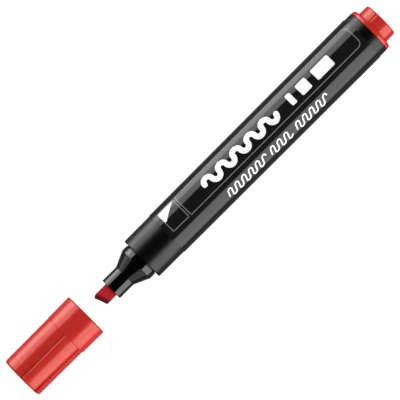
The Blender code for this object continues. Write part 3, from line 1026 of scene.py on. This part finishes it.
def make_floor():
    """A glowing white floor that neither lights the marker nor shows in its gloss."""
    bm = bmesh.new()
    bmesh.ops.create_grid(bm, x_segments=8, y_segments=8, size=FLOOR_HALF_SIZE * MM)
    floor = piece_from("floor", bm)
    finish = Finish("pale_floor", (0.14, 0.14, 0.14), 0.9)
    finish.vary_color(finish.noise((4, 4, 4)), (0.13, 0.13, 0.13))
    finish.shader.inputs["Emission Color"].default_value = (1, 1, 1, 1)
    finish.shader.inputs["Emission Strength"].default_value = FLOOR_GLOW
    floor.data.materials.append(finish.material)
    floor.visible_glossy = False
    floor.visible_diffuse = False
    floor.visible_shadow = False


def make_lamp(name, side, ends, angles, radiance):
    """A flat light beside the marker, between two stations and two angles from straight up."""
    top, bottom = (SOFTBOX_DISTANCE / math.tan(math.radians(angle)) for angle in angles)
    light = bpy.data.lights.new(name, "AREA")
    light.shape = "RECTANGLE"
    light.size = (ends[1] - ends[0]) * MM
    light.size_y = (top - bottom) * MM
    light.energy = radiance * math.pi * light.size * light.size_y
    lamp = bpy.data.objects.new(name, light)
    lamp.location = Vector((sum(ends) / 2, side * SOFTBOX_DISTANCE, AXIS_Z + (top + bottom) / 2)) * MM
    lamp.rotation_euler = (math.radians(-90 * side), 0, 0)
    lamp.visible_camera = False
    bpy.context.collection.objects.link(lamp)


def make_softbox(name, side, angles, radiances):
    """A long soft light of several rows, one between each two angles, with dimmer stretches at both ends."""
    for row, radiance in enumerate(radiances):
        for part, ends, share in SOFTBOX_PARTS:
            make_lamp(f"{name}_{part}_{row + 1}", side, ends, angles[row : row + 2], radiance * share)


def make_fill(name, tilt, energy):
    """Broad light for matt surfaces, which glossy ones don't mirror, tilted from straight down."""
    light = bpy.data.lights.new(name, "SUN")
    light.energy = energy
    light.angle = math.radians(FILL_WIDTH_DEG)
    lamp = bpy.data.objects.new(name, light)
    lamp.rotation_euler = [math.radians(degrees) for degrees in tilt]
    lamp.visible_glossy = False
    bpy.context.collection.objects.link(lamp)


def make_world():
    """Surroundings that are dark overhead and dim grey below, which the camera itself sees as white."""
    world = bpy.data.worlds.new("studio")
    bpy.context.scene.world = world
    world.use_nodes = True
    nodes = world.node_tree.nodes
    links = world.node_tree.links
    background = nodes["Background"]
    coords = nodes.new("ShaderNodeTexCoord")
    split = nodes.new("ShaderNodeSeparateXYZ")
    height = nodes.new("ShaderNodeMapRange")
    height.inputs["From Min"].default_value = 0.5
    height.inputs["From Max"].default_value = -0.5
    height.inputs["To Min"].default_value = WORLD_OVERHEAD
    height.inputs["To Max"].default_value = WORLD_BELOW
    path = nodes.new("ShaderNodeLightPath")
    level = nodes.new("ShaderNodeMapRange")
    level.inputs["To Max"].default_value = 1.0
    links.new(coords.outputs["Generated"], split.inputs["Vector"])
    links.new(split.outputs["Z"], height.inputs["Value"])
    links.new(height.outputs["Result"], level.inputs["To Min"])
    links.new(path.outputs["Is Camera Ray"], level.inputs["Value"])
    links.new(level.outputs["Result"], background.inputs["Strength"])
    background.inputs["Color"].default_value = (1, 1, 1, 1)


def make_camera():
    """Long lens almost straight above, turned so that the marker runs up to the right."""
    data = bpy.data.cameras.new("camera")
    data.sensor_width = SENSOR
    data.lens = SENSOR * CAMERA_HEIGHT / PHOTO_WIDTH
    data.clip_end = CLIP_END * MM
    camera = bpy.data.objects.new("camera", data)
    place = Vector((CAMERA_X, AIM_Y, AXIS_Z + CAMERA_HEIGHT)) * MM
    aim = Vector((AIM_X, AIM_Y, AXIS_Z)) * MM
    back = (place - aim).normalized()
    right = Vector((1, -1, 0)).normalized()
    right = (right - back * right.dot(back)).normalized()
    up = back.cross(right)
    camera.matrix_world = Matrix.Translation(place) @ Matrix((right, up, back)).transposed().to_4x4()
    bpy.context.collection.objects.link(camera)
    bpy.context.scene.camera = camera


def make_stage():
    """Floor, lights, surroundings and camera."""
    make_floor()
    for softbox in SOFTBOXES:
        make_softbox(*softbox)
    for fill in FILLS:
        make_fill(*fill)
    make_world()
    make_camera()
    bpy.context.scene.view_settings.view_transform = "Standard"


# ---------------------------------------------------------------- build


def main():
    """Builds the stage and the marker. The reservoir and its film keep their CAD meshes."""
    make_stage()
    make_barrel(satin_black_finish())
    make_label(label_finish())
    make_nozzle(nozzle_finish())
    make_nib(felt_finish())
    make_plug(red_plastic_finish("red_plastic_plug", 0.18))
    make_cap(red_plastic_finish("red_plastic_cap", 0.20))
    make_seal(seal_finish())
    make_print(white_ink_finish(), grey_ink_finish())
    for node, material in (("ink_reservoir", fibre_finish()), ("reservoir_film", film_finish())):
        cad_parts[node].data.materials.clear()
        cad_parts[node].data.materials.append(material)


main()
